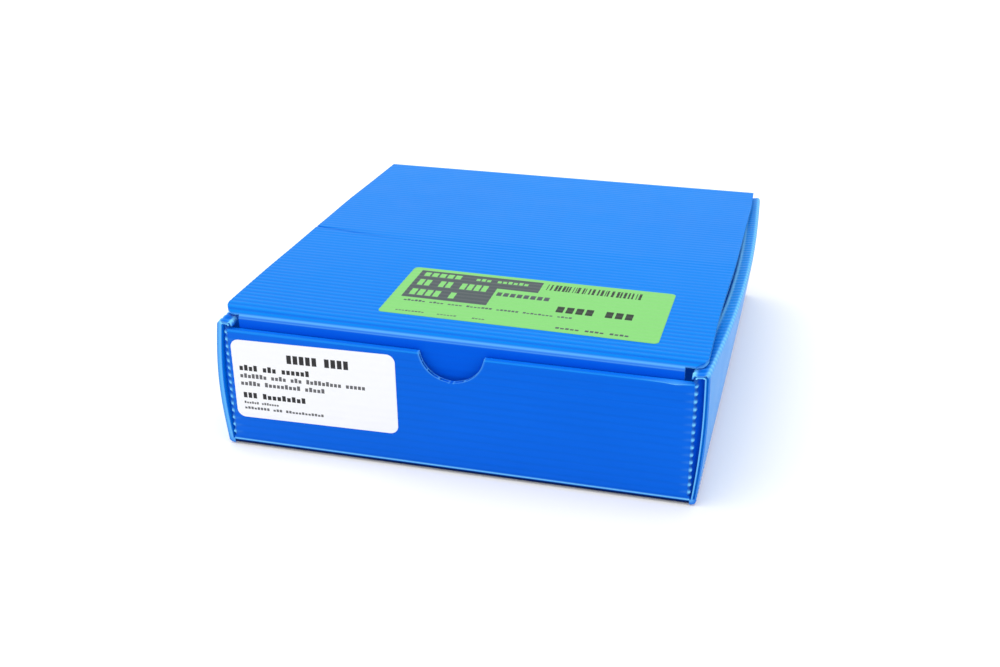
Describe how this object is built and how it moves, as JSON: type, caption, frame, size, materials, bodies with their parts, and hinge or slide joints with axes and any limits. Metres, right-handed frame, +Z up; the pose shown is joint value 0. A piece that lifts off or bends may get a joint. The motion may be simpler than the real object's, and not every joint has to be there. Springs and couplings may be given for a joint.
{
  "type": "fluted plastic tuck-lid box",
  "caption": "Flat tuck-lid storage box folded from blue fluted twin-wall plastic sheet, with roll-over side walls, a thumb notch, a hinged lid with a tuck flap, a white and a green label.",
  "frame": {"origin": "middle of the base's underside, which stands on the surface", "axes": "+X to the box's right as seen from the front wall, +Y from the front wall to the hinge, +Z up"},
  "size_m": [0.202, 0.2171, 0.0587],
  "materials": {
    "tray_sheet": "translucent blue fluted sheet, satin",
    "lid_sheet": "translucent blue fluted sheet, satin",
    "white_label": "matt self-adhesive label with plain black print bars",
    "green_label": "matt self-adhesive label with plain dark print fields"
  },
  "bodies": {
    "tray_body": {"tray": "tray_sheet", "front_label": "white_label"},
    "lid_body": {"lid": "lid_sheet", "lid_label": "green_label"}
  },
  "joints": [
    {"name": "lid_hinge", "type": "hinge", "parent": "tray_body", "child": "lid_body", "pos_m": [0, 0.1085, 0.0549], "axis": [-1, 0, 0], "range_deg": [0, 180]}
  ]
}
